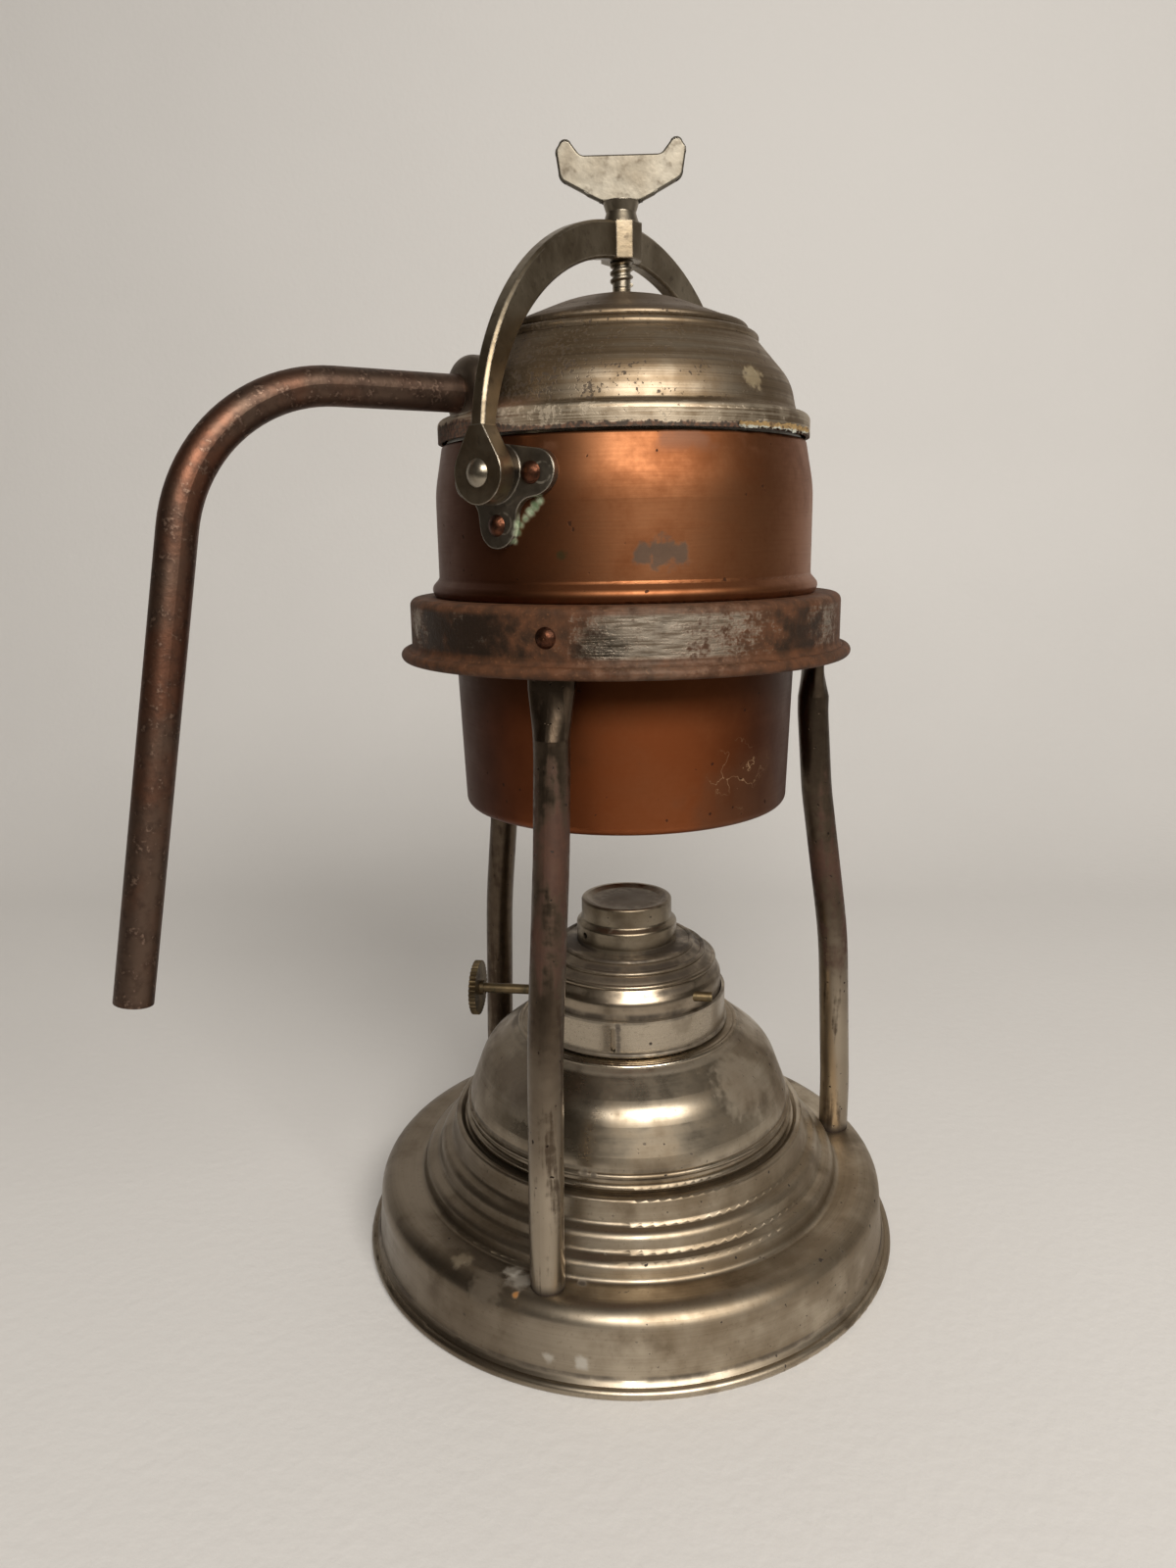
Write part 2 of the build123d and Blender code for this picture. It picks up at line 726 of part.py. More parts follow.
spout_points = [
    (pipe_start, spout_height),
    (spout_reach, spout_height),
    (spout_reach + spout_drop * tan(radians(spout_tilt)), spout_height - spout_drop),
]
with BuildPart() as spout_pipe:
    with BuildLine(upright(spout_angle)) as spout_path:
        FilletPolyline(*spout_points, radius=fitted_radii(spout_points, [spout_bend]))
    with BuildSketch(outward(spout_angle, pipe_start, spout_height)):
        Circle(spout_radius)
        Circle(spout_radius - spout_wall, mode=Mode.SUBTRACT)
    sweep(path=spout_path.wires()[0])
finish(spout_pipe, "spout_pipe")

# Gasket, filters and coffee basket
with BuildPart() as lid_gasket:
    with BuildSketch(Plane.XY.offset(basket_flange_top)):
        Circle(lid_hole_radius + gasket_width)
        Circle(lid_hole_radius, mode=Mode.SUBTRACT)
    extrude(amount=gasket_thickness)
finish(lid_gasket, "lid_gasket")


def drilled_disc(radius, bottom, thickness):
    """Round plate with a field of holes in staggered rows."""
    row_count = int(2 * hole_field / hole_pitch) + 2
    grid = HexLocations(hole_pitch / 2, row_count, row_count, major_radius=False)
    spots = [spot.position for spot in grid.local_locations]
    with BuildPart() as disc:
        with BuildSketch(Plane.XY.offset(bottom)):
            Circle(radius)
            with Locations(*[spot for spot in spots if spot.length < hole_field]):
                Circle(hole_diameter / 2, mode=Mode.SUBTRACT)
        extrude(amount=thickness)
    return disc


filter_plate = drilled_disc(lid_hole_radius + gasket_width, filter_bottom, filter_thickness)
finish(filter_plate, "filter_plate")

basket_floor = mouth_height - basket_depth
basket_points = [
    (stem_radius, boiler_bottom + copper_sheet + stem_clearance),
    (stem_radius, basket_floor - basket_cone_rise),
    (basket_radius, basket_floor),
    (basket_radius, mouth_height),
    (basket_flange_radius, mouth_height),
]
with BuildPart() as coffee_basket:
    revolve(sheet(basket_points, [basket_bend, basket_bend, crisp_bend], basket_sheet),
            axis=Axis.Z)
finish(coffee_basket, "coffee_basket")

plate_rim = basket_radius - basket_sheet - loose_gap
plate_bottom = basket_floor + basket_sheet + face_gap
basket_plate = drilled_disc(plate_rim, plate_bottom, filter_thickness)
finish(basket_plate, "basket_plate")

# Fuel tank: domed shell, pan and collar
tank_points = [
    (pan_radius + 2 * loose_gap, 0),
    (tank_flange_radius, 0),
    (tank_flange_radius - tank_cheek_setback, tank_cheek_rise),
    (tank_flange_radius - tank_shoulder_setback, tank_shoulder_rise),
    (tank_neck_radius + tank_neck_spread, tank_neck_rise),
    (tank_neck_radius, tank_height),
    (tank_hole_radius, tank_height),
]
tank_points = [(r, z + shelf_height) for r, z in tank_points]
tank_radii = [crisp_bend, tank_round, tank_round, tank_neck_bend, firm_bend]
with BuildPart() as fuel_tank:
    revolve(sheet(tank_points, tank_radii, burner_sheet), axis=Axis.Z)
    roll = (tank_flange_radius - tank_roll_inset, shelf_height + tank_roll_rise)
    revolve(beads([roll], tank_roll_radius), axis=Axis.Z)
    upper_bead = (tank_flange_radius - tank_bead_inset, shelf_height + tank_bead_rise)
    neck_bead = (tank_neck_radius + tank_bead_radius, tank_top - tank_bead_radius)
    revolve(beads([upper_bead, neck_bead], tank_bead_radius), axis=Axis.Z)
finish(fuel_tank, "fuel_tank")

pan_top = shelf_height + burner_sheet
pan_points = [
    (0, pan_top - pan_depth),
    (pan_radius, pan_top - pan_depth),
    (pan_radius, pan_top),
    (pan_radius + pan_flange, pan_top),
]
with BuildPart() as tank_bottom:
    revolve(sheet(pan_points, [pan_corner, crisp_bend], burner_sheet), axis=Axis.Z)
finish(tank_bottom, "tank_bottom")

collar_points = [
    (tank_hole_radius, tank_top),
    (collar_radius, tank_top),
    (collar_radius, tank_top + collar_height),
]
with BuildPart() as tank_collar:
    revolve(sheet(collar_points, [crisp_bend], collar_sheet), axis=Axis.Z)
    foot_bead = (collar_radius, tank_top + tank_bead_radius)
    revolve(beads([foot_bead], collar_bead_radius), axis=Axis.Z)
    with BuildSketch(outward(collar_slot_angle, head_radius, tank_top + collar_height / 2)):
        SlotOverall(collar_slot_length, collar_slot_width, rotation=90)
    extrude(amount=3 * collar_sheet, mode=Mode.SUBTRACT)
finish(tank_collar, "tank_collar")

# Burner head with its wick tube
head_points = [
    (head_radius, 0),
    (head_radius, head_rise),
    head_cheek,
    (head_crown_radius, head_height),
    (wick_tube_radius, head_height),
]
head_points = [(r, z + collar_floor) for r, z in head_points]
shaft_turn = radians(shaft_angle)
shaft_plane = Plane(
    origin=(shaft_offset * sin(shaft_turn), -shaft_offset * cos(shaft_turn), shaft_height),
    x_dir=(-sin(shaft_turn), cos(shaft_turn), 0),
    z_dir=(cos(shaft_turn), sin(shaft_turn), 0),
)
with BuildPart() as burner_head:
    revolve(sheet(head_points, head_bends, burner_sheet), axis=Axis.Z)
    ridge_places = [(r, z + collar_floor) for r, z in head_bead_places]
    revolve(beads(ridge_places, head_bead_radius), axis=Axis.Z)
    with BuildSketch(shaft_plane):
        Circle(shaft_radius + running_fit)
    extrude(amount=collar_radius, both=True, mode=Mode.SUBTRACT)
finish(burner_head, "burner_head")

with BuildPart() as wick_tube:
    with BuildSketch(Plane.XY.offset(head_top - wick_tube_tail)):
        Circle(wick_tube_radius)
        Circle(wick_tube_bore, mode=Mode.SUBTRACT)
    extrude(amount=wick_tube_tail + wick_tube_top)
    with BuildSketch(Plane(origin=(0, 0, shaft_height), x_dir=shaft_plane.z_dir,
                           z_dir=-shaft_plane.x_dir)):
        Rectangle(wick_slot_width, 2 * wheel_radius)
    extrude(amount=wick_tube_radius + wick_tube_wall, mode=Mode.SUBTRACT)
finish(wick_tube, "wick_tube")

with BuildPart() as wick:
    with BuildSketch(Plane.XY.offset(wick_top - wick_tail)):
        Circle(wick_radius)
    extrude(amount=wick_tail)
finish(wick, "wick")

# Wick raiser: shaft, toothed wheel and knurled knob
with BuildPart() as wick_shaft:
    with BuildSketch(shaft_plane.offset(-shaft_knob_end)):
        Circle(shaft_radius)
    extrude(amount=shaft_knob_end + shaft_free_end)
finish(wick_shaft, "wick_shaft")

with BuildPart() as star_wheel:
    with BuildSketch(shaft_plane.offset(-wheel_thickness / 2)):
        Circle(wheel_radius - wheel_tooth)
        with PolarLocations(wheel_radius - wheel_tooth, wheel_teeth):
            with BuildLine():
                Polyline((wheel_tooth, 0), (-wheel_tooth / 2, wheel_tooth),
                         (-wheel_tooth / 2, -wheel_tooth), (wheel_tooth, 0))
            make_face()
        Circle(shaft_radius, mode=Mode.SUBTRACT)
    extrude(amount=wheel_thickness)
finish(star_wheel, "star_wheel")

with BuildPart() as wick_knob:
    with BuildSketch(shaft_plane.offset(-shaft_knob_end + knob_hub_height)):
        Circle(knob_radius)
        with PolarLocations(knob_radius, knob_notches):
            RegularPolygon(knob_notch, 4, mode=Mode.SUBTRACT)
    extrude(amount=knob_thickness)
    with BuildSketch(shaft_plane.offset(-shaft_knob_end)):
        Circle(knob_hub_radius)
    extrude(amount=2 * knob_hub_height + knob_thickness)
    with BuildSketch(shaft_plane.offset(-shaft_knob_end)):
        Circle(shaft_radius)
    extrude(amount=2 * knob_hub_height + knob_thickness, mode=Mode.SUBTRACT)
finish(wick_knob, "wick_knob")

# Snuffer cap
cap_points = [
    (cap_skirt_radius, 0),
    (cap_skirt_radius, cap_skirt_height),
    (cap_radius, cap_skirt_height + 2 * cap_sheet),
    (cap_radius, cap_height),
    (cap_radius - cap_rim_width, cap_height),
    (cap_radius - 2 * cap_rim_width, cap_height - cap_dish),
    (0, cap_height - cap_dish),
]
cap_points = [(r, z + head_top) for r, z in cap_points]
cap_radii = [cap_bend, cap_bend, cap_bend, crisp_bend, cap_bend]
with BuildPart() as snuffer_cap:
    revolve(sheet(cap_points, cap_radii, cap_sheet), axis=Axis.Z)
    with BuildSketch(outward(cap_vent_angle, cap_radius - cap_rim_width, head_top + cap_vent_rise)):
        Circle(cap_vent_radius)
    extrude(amount=cap_skirt_radius, mode=Mode.SUBTRACT)
finish(snuffer_cap, "snuffer_cap")
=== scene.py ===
import math

import bpy
from mathutils import Matrix, Vector


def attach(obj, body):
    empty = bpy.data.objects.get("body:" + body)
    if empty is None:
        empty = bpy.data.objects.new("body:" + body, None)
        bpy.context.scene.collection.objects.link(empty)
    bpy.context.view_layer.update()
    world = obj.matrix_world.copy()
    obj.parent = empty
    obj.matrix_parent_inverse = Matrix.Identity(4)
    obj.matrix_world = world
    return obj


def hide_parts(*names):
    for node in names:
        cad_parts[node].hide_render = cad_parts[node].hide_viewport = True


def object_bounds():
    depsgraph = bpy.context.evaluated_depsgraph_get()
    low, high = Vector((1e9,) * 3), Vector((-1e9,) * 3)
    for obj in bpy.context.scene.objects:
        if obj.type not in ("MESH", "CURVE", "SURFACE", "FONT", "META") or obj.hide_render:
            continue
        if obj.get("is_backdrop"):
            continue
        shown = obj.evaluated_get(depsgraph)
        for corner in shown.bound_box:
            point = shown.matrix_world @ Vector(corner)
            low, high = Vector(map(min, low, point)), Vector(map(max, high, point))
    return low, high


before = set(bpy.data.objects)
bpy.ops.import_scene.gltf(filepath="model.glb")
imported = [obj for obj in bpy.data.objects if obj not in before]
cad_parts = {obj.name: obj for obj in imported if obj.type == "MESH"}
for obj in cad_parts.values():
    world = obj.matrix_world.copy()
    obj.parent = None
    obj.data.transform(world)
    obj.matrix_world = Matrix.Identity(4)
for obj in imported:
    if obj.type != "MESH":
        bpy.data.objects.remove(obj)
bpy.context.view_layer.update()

# Camera: a hand-held camera stands close in front of the maker, a little above the copper,
# and looks down at it, so the base is seen well from above and the lid from its side.
camera_data = bpy.data.cameras.new("camera")
camera_data.lens = 25.2
camera = bpy.data.objects.new("camera", camera_data)
camera.matrix_world = (
    Matrix.Translation((0, -0.329, 0.2223))
    @ Matrix.Rotation(math.radians(2.01), 4, "Z")
    @ Matrix.Rotation(math.radians(77.11), 4, "X")
    @ Matrix.Rotation(math.radians(-0.9), 4, "Z")
)
bpy.context.collection.objects.link(camera)
bpy.context.scene.camera = camera
bpy.context.scene.view_settings.view_transform = "Standard"


# Floor and backdrop: one pale painted sheet that lies flat under the maker and sweeps up
# behind it. It is only a setting, made from one plane with its rear edge turned up.
class Link:
    """One output of a shader node. Arithmetic on it adds Math nodes."""

    def __init__(self, tree, socket=None):
        self.tree = tree
        self.socket = socket

    def node(self, kind, settings, inputs, output=0):
        """Adds a node: its settings come first, then the values or links of its sockets."""
        made = self.tree.nodes.new("ShaderNode" + kind)
        for name, value in settings.items():
            setattr(made, name, value)
        for name, value in inputs.items():
            if isinstance(value, Link):
                self.tree.links.new(value.socket, made.inputs[name])
            else:
                made.inputs[name].default_value = value
        return Link(self.tree, made.outputs[output] if made.outputs else None)

    def math(self, operation, *others):
        """Adds a Math node on this output and the others."""
        return self.node("Math", {"operation": operation}, dict(enumerate((self, *others))))

    def __add__(self, other):
        return self.math("ADD", other)

    def __mul__(self, other):
        return self.math("MULTIPLY", other)

    def __sub__(self, other):
        return self.math("SUBTRACT", other)

    def __rsub__(self, other):
        return self.node("Math", {"operation": "SUBTRACT"}, {0: other, 1: self})

    __radd__ = __add__
    __rmul__ = __mul__


def new_finish(name):
    """An empty material, and the object's own coordinates in it to start from."""
    finish = bpy.data.materials.new(name)
    finish.use_nodes = True
    finish.node_tree.nodes.clear()
    return finish, Link(finish.node_tree).node("TexCoord", {}, {}, "Object")


def noise(place, scale, detail=3.0):
    """A noise from 0 to 1, with as many features to a metre as its scale."""
    return place.node("TexNoise", {}, {"Vector": place, "Scale": scale, "Detail": detail})


def step(value, low, high):
    """0 up to low and 1 from high, with a smooth rise; it falls where low is above high."""
    return value.node("MapRange", {"interpolation_type": "SMOOTHSTEP"},
                      {"Value": value, "From Min": low, "From Max": high})


def mix(mask, first, second):
    """Colours, first where the mask is 0 and second where it is 1."""
    return mask.node("Mix", {"data_type": "RGBA"}, {0: mask, 6: first, 7: second}, 2)


def close(place, colour, roughness, metallic, height, depth, normal=None, **fixed):
    """Ends a material: its surface shader, with a bump from the height, and the output."""
    relief = {"Height": height, "Distance": depth}
    if normal:
        relief["Normal"] = normal
    bump = place.node("Bump", {}, relief)
    inputs = {"Base Color": colour, "Roughness": roughness, "Metallic": metallic, "Normal": bump}
    inputs.update({name.replace("_", " "): value for name, value in fixed.items()})
    surface = place.node("BsdfPrincipled", {}, inputs)
    place.node("OutputMaterial", {}, {"Surface": surface})


floor_finish, spot = new_finish("floor_paint")
speckle = noise(spot, 9.0, 4.0)
close(spot, mix(speckle, (0.67, 0.66, 0.65, 1), (0.71, 0.70, 0.69, 1)),
      0.55 + 0.1 * speckle, 0.0, noise(spot, 240.0), 0.0002)


def pick(piece, kind, wanted):
    """Edit mode on the piece with just the vertices, edges or faces selected that are wanted."""
    bpy.ops.object.mode_set(mode="OBJECT")
    mesh = piece.data
    for group in (mesh.vertices, mesh.edges, mesh.polygons):
        group.foreach_set("select", [False] * len(group))
    for item in {"VERT": mesh.vertices, "EDGE": mesh.edges, "FACE": mesh.polygons}[kind]:
        if kind == "VERT":
            points = [item.co]
        else:
            points = [mesh.vertices[n].co for n in item.vertices]
        item.select = wanted(points)
    bpy.ops.object.mode_set(mode="EDIT")
    bpy.ops.mesh.select_mode(type=kind)


floor_width = 4.0
floor_depth = 1.04
floor_middle = 0.1
floor_rear = floor_middle + floor_depth / 2 - 0.01
backdrop_height = 2.0
sweep_radius = 0.3
bpy.ops.object.select_all(action="DESELECT")
bpy.ops.mesh.primitive_plane_add(size=1.0, location=(0, floor_middle, 0))
floor = bpy.context.object
floor.name = "floor_sweep"
floor.scale = (floor_width, floor_depth, 1.0)
bpy.ops.object.transform_apply(location=True, scale=True)
pick(floor, "EDGE", lambda points: all(point.y > floor_rear for point in points))
bpy.ops.mesh.extrude_region_move(TRANSFORM_OT_translate={"value": (0, 0, backdrop_height)})
pick(floor, "EDGE", lambda points: all(point.y > floor_rear and point.z < 0.1 for point in points))
bpy.ops.mesh.bevel(offset=sweep_radius, segments=24)
bpy.ops.object.mode_set(mode="OBJECT")
bpy.ops.object.shade_smooth()
floor.data.materials.append(floor_finish)
floor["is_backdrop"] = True

# Light: one wide soft panel high in front on the right, and an even dim room all round. The
# room is darker in reflections, and the camera sees it as a pale backdrop.
lamp = bpy.data.lights.new("key", "AREA")
lamp.shape = "RECTANGLE"
lamp.size = 1.1
lamp.size_y = 0.5
lamp.energy = 26.0
lamp.color = (1.0, 0.95, 0.88)
holder = bpy.data.objects.new("key", lamp)
bpy.context.collection.objects.link(holder)
lamp_place = Vector((0.350, -1.150, 0.961))
turn = (Vector((0, 0, 0.15)) - lamp_place).to_track_quat("-Z", "Y").to_matrix().to_4x4()
holder.matrix_world = Matrix.Translation(lamp_place) @ turn

world = bpy.data.worlds.new("room")
bpy.context.scene.world = world
world.use_nodes = True
world.node_tree.nodes.clear()
room = Link(world.node_tree)
seen = room.node("LightPath", {}, {}, "Is Camera Ray")
mirrored = room.node("LightPath", {}, {}, "Is Glossy Ray")
level = mix(mirrored, (0.16, 0.146, 0.128, 1), (0.026, 0.020, 0.013, 1))
room_colour = mix(seen, level, (0.62, 0.60, 0.575, 1))
room.node("OutputWorld", {}, {"Surface": room.node("Background", {}, {"Color": room_colour})})


# Base: a wide foot spun from one steel sheet, stepped like a bell, with its rim rolled round
# a wire. It is nickel plated, brown where the plate has tarnished and grimy in the grooves.
def dress(finish, *names):
    """Gives the solids of these nodes one material."""
    for name in names:
        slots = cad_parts[name].data.materials
        slots.clear()
        slots.append(finish)


def along(place, axis):
    """One coordinate of a point, X, Y or Z."""
    return place.node("SeparateXYZ", {}, {0: place}, axis)


def around(place):
    """The angle of a point about the upright axis."""
    return along(place, "Y").math("ARCTAN2", along(place, "X"))


def turned(place, twist):
    """Coordinates in which noise is drawn out round the upright axis, as marks of a lathe are."""
    x = along(place, "X")
    y = along(place, "Y")
    drawn = {"X": (x * x + y * y).math("SQRT"), "Y": around(place) * twist, "Z": along(place, "Z")}
    return place.node("CombineXYZ", {}, drawn)


def near(place, centre, reach, soft, ragged=None):
    """1 inside a ball round the centre, 0 outside; a noise makes its edge ragged."""
    away = place.node("VectorMath", {"operation": "DISTANCE"}, {0: place, 1: centre}, "Value")
    if ragged:
        away = away + (ragged - 0.5) * (2.2 * reach)
    return step(away, reach + soft, reach - soft)


def spun_metal(name, bright, dull, dirt_and_shade_colour, share, rough, rings,
               grooves=(), marks=(), matte=0.16, shade=0.0):
    """Spun plated sheet: lathe rings, cloudy tarnish, pits, grime in grooves, local marks and
    painted shade on its left side.
    """
    finish, place = new_finish(name)
    x = along(place, "X")
    z = along(place, "Z")
    lathe = turned(place, 0.0006)
    lines = noise(lathe, 2400.0, 2.0)
    broad = noise(lathe, 380.0, 3.0)
    cloud = noise(place, 17.0, 5.0)
    mottle = noise(place, 120.0, 6.0)
    fine = noise(place, 800.0, 4.0)
    # Painted shade: the sheet is darkened towards its left side, by the share given in shade, in
    # the dirt colour.
    painted_left_shade = step(x + 0.03 * (cloud - 0.5), 0.012, -0.050) * shade
    tarnish = step(0.66 * cloud + 0.26 * mottle + 0.08 * broad, share - 0.12, share + 0.12)
    colour = mix(tarnish, bright, dull)
    colour = mix(painted_left_shade, colour, dirt_and_shade_colour)
    colour = mix(step(lines, 0.35, 0.75) * (0.3 * rings), colour, dirt_and_shade_colour)
    colour = mix(step(fine, 0.58, 0.74) * 0.25, colour, dirt_and_shade_colour)
    stain = step(noise(place, 60.0, 6.0), 0.55, 0.70) * 0.35
    colour = mix(stain, colour, dirt_and_shade_colour)
    pits = step(noise(place, 560.0, 1.0), 0.735, 0.775) * step(cloud, 0.40, 0.55)
    grime = pits
    speck = noise(place, 480.0, 5.0)
    for height, half, strength in grooves:
        band = step((z - height).math("ABSOLUTE"), half * 1.8, half * 0.4)
        grime = grime.math("MAXIMUM", band * step(mottle, 0.30, 0.62) * strength)
    colour = mix(grime, colour, (0.030, 0.021, 0.014, 1))
    roughness = rough + matte * tarnish + 0.07 * lines + 0.06 * fine + 0.25 * grime + 0.1 * stain
    metallic = 1.0 - 0.75 * grime
    for centre, reach, tint, amount in marks:
        spot = near(place, centre, reach, reach * 0.5, 0.3 * mottle + 0.7 * speck) * amount
        colour = mix(spot, colour, tint)
        roughness = roughness + 0.35 * spot
        metallic = metallic - 0.8 * spot
    height = lines * (0.2 * rings) + broad * 0.3 + mottle * 0.15 + fine * 0.1 - grime * 0.4
    close(place, colour, roughness, metallic, height, 0.00004)
    return finish


chalk = (0.42, 0.40, 0.36, 1)
base_finish = spun_metal(
    "base_nickel", (0.56, 0.485, 0.38, 1), (0.265, 0.208, 0.142, 1), (0.080, 0.056, 0.035, 1),
    0.50, 0.27, 0.4,
    grooves=((0.0047, 0.0006, 0.75),),
    marks=(
        ((-0.0300, -0.0665, 0.0226), 0.0034, chalk, 0.5),
        ((-0.0325, -0.0625, 0.0230), 0.0022, chalk, 0.45),
        ((-0.0219, -0.0787, 0.0084), 0.0014, chalk, 0.6),
        ((-0.0127, -0.0806, 0.0084), 0.0018, chalk, 0.7),
        ((-0.0308, -0.0715, 0.0220), 0.0009, (0.36, 0.15, 0.03, 1), 0.8),
        ((-0.0471, -0.0580, 0.0228), 0.0026, (0.34, 0.28, 0.19, 1), 0.4),
        ((-0.0395, -0.0683, 0.0212), 0.0040, (0.06, 0.045, 0.03, 1), 0.5),
        ((-0.0129, -0.0674, 0.0223), 0.0012, (0.04, 0.028, 0.02, 1), 0.9),
    ),
    # Painted shade: the base's left side is darkened.
    shade=0.7,
)
dress(base_finish, "base")


# Legs: three bent steel tubes, flattened at the top behind the ring and pushed through holes
# in the base, with washers and nuts below. The nickel has worn away to rust and long dark runs.
base_top = 0.0222


def worn_tube(name, rust_from, rust_to, rust_share, dark_from, dark_to):
    """Plated tube: nickel, brown above dark_to, rusty from rust_from up, with long dark runs."""
    finish, place = new_finish(name)
    z = along(place, "Z")
    stretched = place.node("VectorMath", {"operation": "MULTIPLY"}, {0: place, 1: (1.0, 1.0, 0.07)})
    runs = noise(stretched, 380.0, 4.0)
    cloud = noise(place, 45.0, 5.0)
    mottle = noise(place, 340.0, 5.0)
    pits = step(noise(place, 620.0, 1.0), 0.72, 0.77)
    zone = step(z, rust_from, rust_to) * step(z, rust_to + 0.07, rust_to + 0.02)
    patches = 0.5 * cloud + 0.25 * mottle + 0.25 * runs + 0.20 * zone
    rust = step(patches, rust_share, rust_share + 0.14)
    streak = step(runs * 0.75 + mottle * 0.25, 0.52, 0.64)
    aged = step(z + 0.04 * cloud, dark_from, dark_to)
    colour = mix(cloud, (0.42, 0.360, 0.280, 1), (0.26, 0.208, 0.150, 1))
    brown = mix(mottle, (0.130, 0.098, 0.069, 1), (0.058, 0.040, 0.027, 1))
    colour = mix(aged, colour, brown)
    colour = mix(streak * 0.8, colour, (0.070, 0.048, 0.032, 1))
    red = mix(mottle, (0.100, 0.036, 0.020, 1), (0.040, 0.022, 0.015, 1))
    colour = mix(rust * 0.85, colour, red)
    foot = step(z, base_top + 0.0040, base_top)
    colour = mix(foot.math("MAXIMUM", pits), colour, (0.035, 0.024, 0.018, 1))
    roughness = 0.30 + 0.24 * rust + 0.16 * streak + 0.3 * foot + 0.08 * mottle
    height = mottle * 0.6 + runs * 0.5 - streak * 0.3 + rust * 0.4 * mottle - pits
    close(place, colour, roughness, 1.0 - 0.55 * rust - 0.3 * foot, height, 0.00011)
    return finish


dress(worn_tube("front_leg_tube", 0.075, 0.125, 0.62, 0.060, 0.120), "leg_front")
dress(worn_tube("right_leg_tube", 0.060, 0.100, 0.62, 0.078, 0.125), "leg_right")
# Painted shade: on the rear leg the dark brown starts lower than on the others, for the shade of
# the pot over its tarnish.
dress(worn_tube("rear_leg_tube", 0.050, 0.150, 0.66, 0.030, 0.080), "leg_rear")


# Support ring: a steel band with its top turned in for the boiler and its lower edge rolled.
# It is rusted all over but for rubbed patches of old plating, most of them in front.
wall_foot = 0.1915
wall_top = 0.2035


def rusted_steel(name, silver, marks=(), blued=()):
    """Rust all over, with plating left where the noise passes silver and round the marks."""
    finish, place = new_finish(name)
    z = along(place, "Z")
    scuffs = noise(turned(place, 0.006), 1500.0, 4.0)
    cloud = noise(place, 40.0, 5.0)
    mottle = noise(place, 260.0, 6.0)
    fine = noise(place, 1200.0, 4.0)
    bare = 0.26 * cloud + 0.30 * mottle + 0.22 * scuffs + 0.22 * fine
    for centre, reach, amount in marks:
        bare = bare + near(place, centre, reach, reach * 0.9) * amount
    bare = step(bare, silver - 0.06, silver + 0.08) * 0.8
    rust = mix(step(mottle, 0.30, 0.70), (0.056, 0.026, 0.013, 1), (0.108, 0.044, 0.020, 1))
    rust = mix(step(fine, 0.58, 0.72) * 0.6, rust, (0.165, 0.070, 0.030, 1))
    dark = step(0.75 * cloud + 0.25 * mottle, 0.50, 0.68) * 0.5
    for centre, reach, amount in blued:
        dark = dark.math("MAXIMUM", near(place, centre, reach, reach * 0.6, mottle) * amount)
    wall = step(z, wall_foot, wall_foot + 0.0015) * step(z, wall_top, wall_top - 0.0015)
    dark = dark * wall
    colour = mix(dark, rust, (0.040, 0.027, 0.019, 1))
    bare = bare * wall.math("MAXIMUM", 0.15)
    plate = mix(step(scuffs, 0.35, 0.7), (0.46, 0.405, 0.33, 1), (0.19, 0.150, 0.108, 1))
    colour = mix(bare, colour, plate)
    roughness = 0.62 + 0.15 * fine - 0.22 * dark - 0.30 * bare
    metallic = 0.15 + 0.6 * dark + 0.85 * bare
    grit = (mottle + fine * 0.7) * (1.0 - 0.75 * bare)
    height = grit - bare * 0.2 - dark * 0.4 + scuffs * 0.1
    close(place, colour, roughness, metallic.math("MINIMUM", 1.0), height, 0.00014,
          Specular_IOR_Level=0.25)
    return finish


ring_finish = rusted_steel(
    "ring_rust", 0.60,
    marks=(
        ((0.0000, -0.0625, 0.1990), 0.014, 0.10),
        ((0.0149, -0.0608, 0.1985), 0.018, 0.11),
        ((0.0270, -0.0565, 0.1975), 0.012, 0.05),
        ((-0.0572, -0.0255, 0.1992), 0.007, 0.10),
        ((0.0546, -0.0305, 0.1990), 0.009, 0.09),
    ),
    blued=(
        ((-0.0393, -0.0487, 0.1968), 0.014, 0.9),
        ((-0.0500, -0.0380, 0.1975), 0.010, 0.9),
        ((-0.0065, -0.0622, 0.1938), 0.006, 0.8),
        ((0.0464, -0.0420, 0.1935), 0.009, 0.8),
    ),
)
dress(ring_finish, "support_ring")
dress(rusted_steel("nut_rust", 0.70), "leg_nuts")


# Copper rivets: three hold the ring to the legs and six hold the brackets to the boiler.
# They are domed by hammering, and dark brown but for the rubbed crown of each head.
rivet_finish, place = new_finish("rivet_copper")
patch = noise(place, 500.0, 4.0)
dents = noise(place, 900.0, 2.0)
colour = mix(step(patch, 0.35, 0.7), (0.120, 0.048, 0.027, 1), (0.042, 0.020, 0.013, 1))
close(place, colour, 0.34 + 0.22 * patch, 1.0, dents, 0.0002)
dress(rivet_finish, "ring_rivets", "bracket_rivets")

